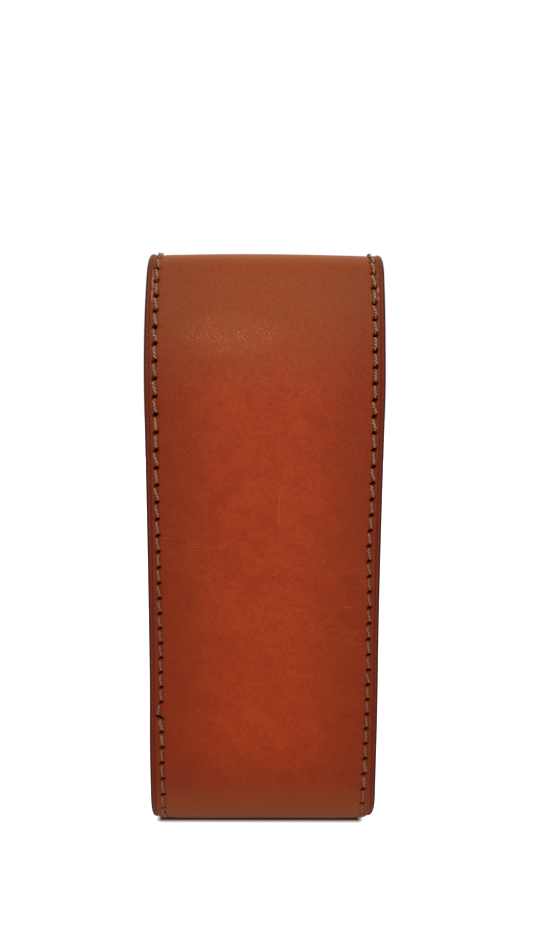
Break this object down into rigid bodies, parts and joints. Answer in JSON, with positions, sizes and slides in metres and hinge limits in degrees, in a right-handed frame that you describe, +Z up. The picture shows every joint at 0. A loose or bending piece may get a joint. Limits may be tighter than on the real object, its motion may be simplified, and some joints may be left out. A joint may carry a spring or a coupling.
{
  "type": "pen case",
  "caption": "Upright stitched leather pen case with rounded top and base, side gussets, inner slots and a folding flap that closes on the front with a press stud.",
  "frame": {"origin": "on the flat of the base, midway across the width and in the middle of the outer leather's depth", "axes": "+Z up along the height, X across the width, -Y towards the plain back shown in the picture, +Y towards the front flap"},
  "size_m": [0.066, 0.0335, 0.1703],
  "materials": {
    "outer_leather": "smooth vegetable-tanned, lightly polished",
    "gusset_leather": "smooth vegetable-tanned",
    "divider_leather": "natural, matt",
    "lining": "thin suede-like lining leather",
    "thread": "waxed twisted thread",
    "snap_brass": "satin, slightly worn",
    "spring_steel": "bright wire"
  },
  "bodies": {
    "case": {"outer_shell": "outer_leather", "shell_lining": "lining", "left_gusset": "gusset_leather", "right_gusset": "gusset_leather", "left_divider": "divider_leather", "right_divider": "divider_leather", "snap_stud": "snap_brass", "snap_post": "snap_brass", "left_shell_stitching": "thread", "right_shell_stitching": "thread", "mouth_stitching": "thread"},
    "flap_top": {"top_band": "outer_leather", "band_lining": "lining", "left_band_stitching": "thread", "right_band_stitching": "thread"},
    "flap_front": {"flap_cover": "outer_leather", "cover_lining": "lining", "snap_cap": "snap_brass", "snap_socket": "snap_brass", "snap_spring": "spring_steel", "left_cover_stitching": "thread", "right_cover_stitching": "thread", "cover_end_stitching": "thread"}
  },
  "joints": [
    {"name": "rear_fold", "type": "hinge", "parent": "case", "child": "flap_top", "pos_m": [0, -0.01408, 0.1468], "axis": [1, 0, 0], "range_deg": [0, 90]},
    {"name": "front_fold", "type": "hinge", "parent": "flap_top", "child": "flap_front", "pos_m": [0, 0.01278, 0.16678], "axis": [1, 0, 0], "range_deg": [0, 90]}
  ]
}
